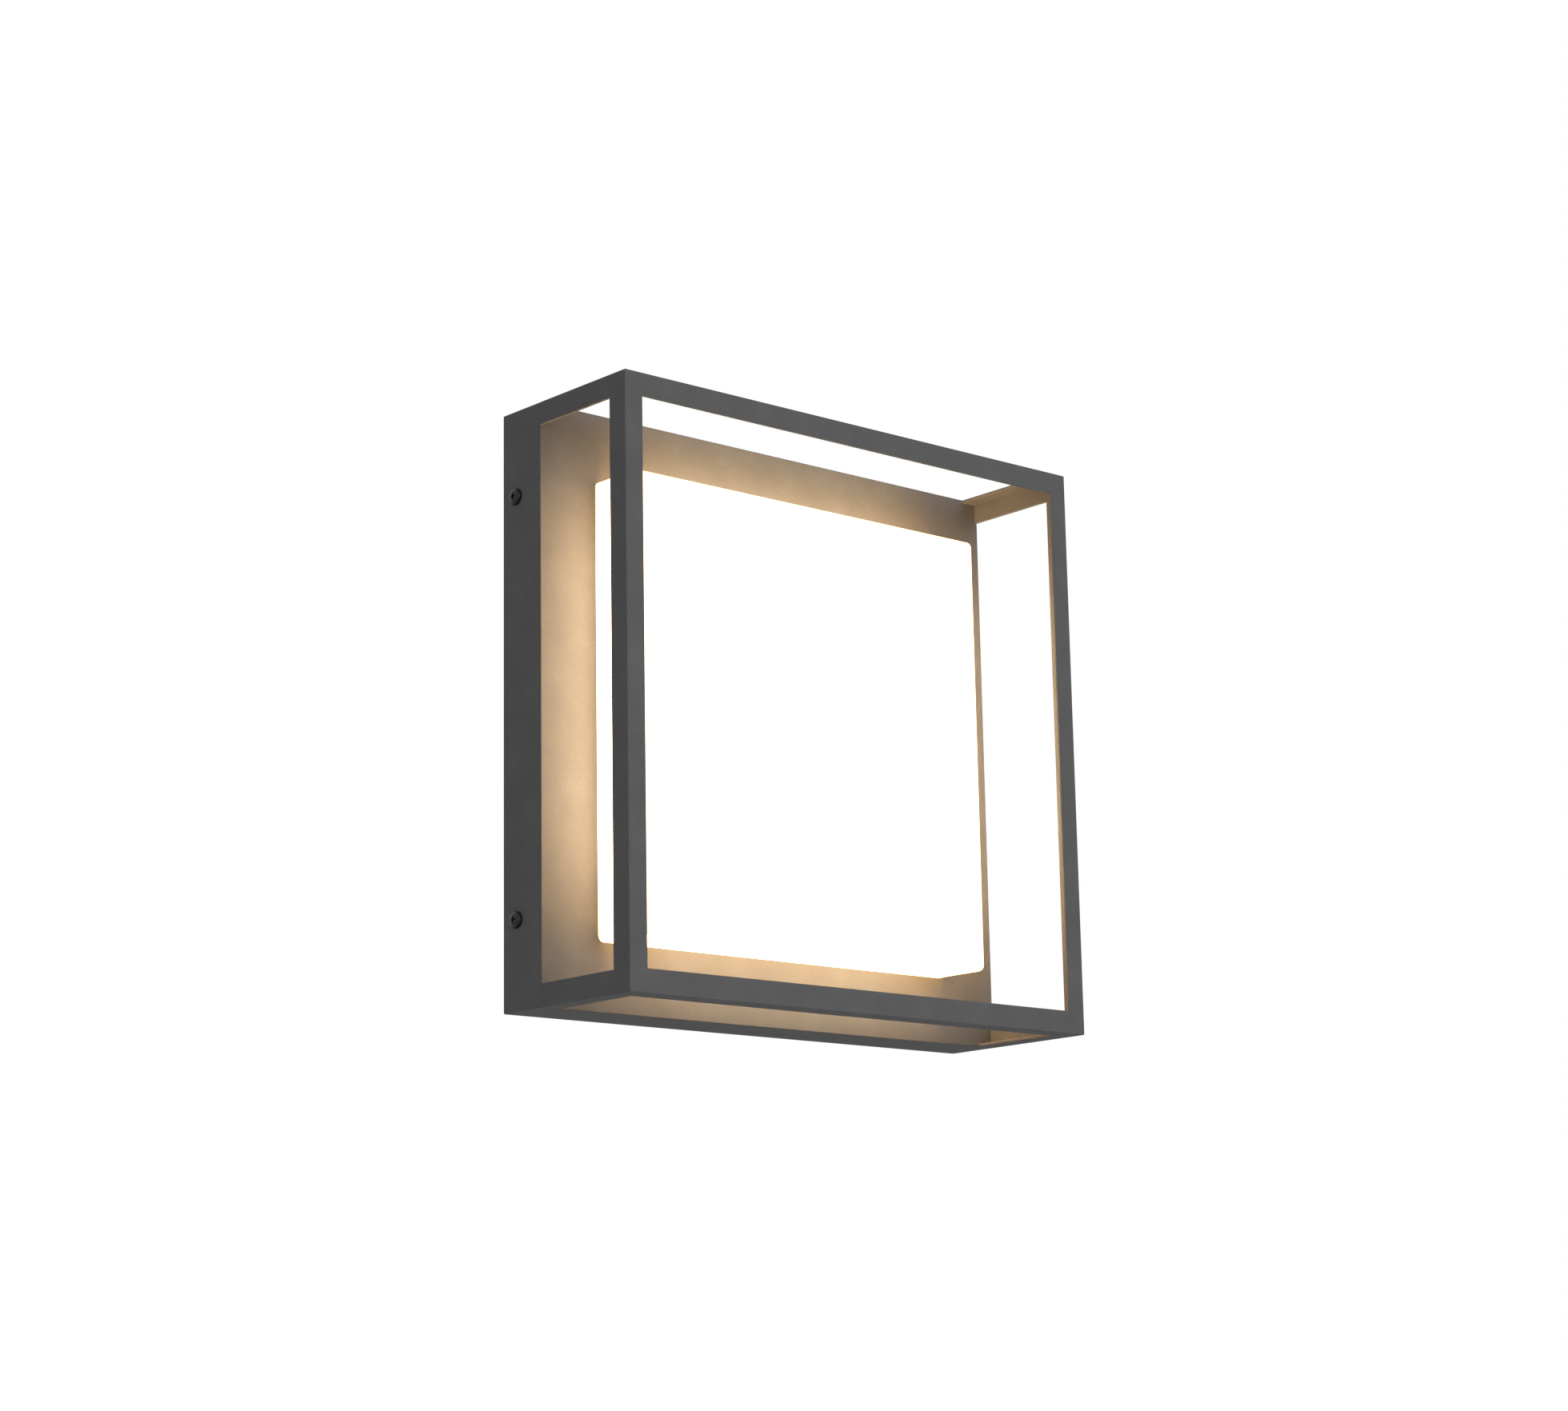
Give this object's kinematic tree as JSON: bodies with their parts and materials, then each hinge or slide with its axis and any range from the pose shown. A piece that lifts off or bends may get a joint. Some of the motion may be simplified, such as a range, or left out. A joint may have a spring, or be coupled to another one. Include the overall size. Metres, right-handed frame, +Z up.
{
  "type": "outdoor cage light",
  "caption": "Square surface-mounted outdoor light: shallow dark tray, raised opal diffuser block and an open cage of thin angle bars in front, on a slotted wall bracket.",
  "frame": {"origin": "centre of the wall bracket's slot pattern, in the plane of its back face, which is the wall plane", "axes": "+Y into the wall, -Y out of it towards the front of the cage, +Z up as the picture shows it, +X to the right seen from the front"},
  "size_m": [0.2544, 0.081, 0.25],
  "materials": {
    "powder_coat": "fine-grained matt powder coat, anthracite",
    "opal_acrylic": "satin opal, lit from inside",
    "black_rubber": "matt",
    "galvanised_steel": "hot-dip galvanised",
    "zinc_plated_steel": "bright zinc",
    "black_screw": "black",
    "cast_aluminium": "as cast",
    "sheet_aluminium": "mill finish",
    "white_board": "aluminium core, white solder mask",
    "led_phosphor": "phosphor gel",
    "white_nylon": "moulded",
    "natural_nylon": "moulded",
    "brass_insert": "turned",
    "brown_insulation": "smooth",
    "blue_insulation": "smooth",
    "green_yellow_insulation": "smooth, two colours",
    "red_insulation": "smooth",
    "black_insulation": "smooth"
  },
  "bodies": {
    "bracket": {"wall_bracket": "galvanised_steel", "bracket_earth_screw": "zinc_plated_steel"},
    "lamp": {"housing_tray": "powder_coat", "corner_bar_top_left": "powder_coat", "corner_bar_top_right": "powder_coat", "corner_bar_bottom_left": "powder_coat", "corner_bar_bottom_right": "powder_coat", "front_post_left": "powder_coat", "front_post_right": "powder_coat", "front_rail_top": "powder_coat", "front_rail_bottom": "powder_coat", "diffuser": "opal_acrylic", "diffuser_gasket": "black_rubber", "pan_studs": "zinc_plated_steel", "pan_nuts": "zinc_plated_steel", "gear_pan": "cast_aluminium", "led_board": "white_board", "led_chips": "led_phosphor", "board_screws": "zinc_plated_steel", "board_connector": "white_nylon", "led_driver": "white_nylon", "driver_screws": "zinc_plated_steel", "terminal_block": "natural_nylon", "terminal_inserts": "brass_insert", "terminal_clamp_screws": "zinc_plated_steel", "terminal_fixing_screw": "zinc_plated_steel", "earth_tag": "brass_insert", "earth_screw": "zinc_plated_steel", "live_lead": "brown_insulation", "neutral_lead": "blue_insulation", "earth_lead": "green_yellow_insulation", "led_lead_positive": "red_insulation", "led_lead_negative": "black_insulation", "rear_cover": "sheet_aluminium", "cover_gasket": "black_rubber", "cover_screws": "zinc_plated_steel", "cable_grommet": "black_rubber", "side_screws": "black_screw", "side_nuts": "zinc_plated_steel"}
  },
  "joints": [
    {"name": "lamp_pull_off", "type": "slide", "parent": "bracket", "child": "lamp", "axis": [0, -1, 0], "range_m": [0, 0.014]}
  ]
}
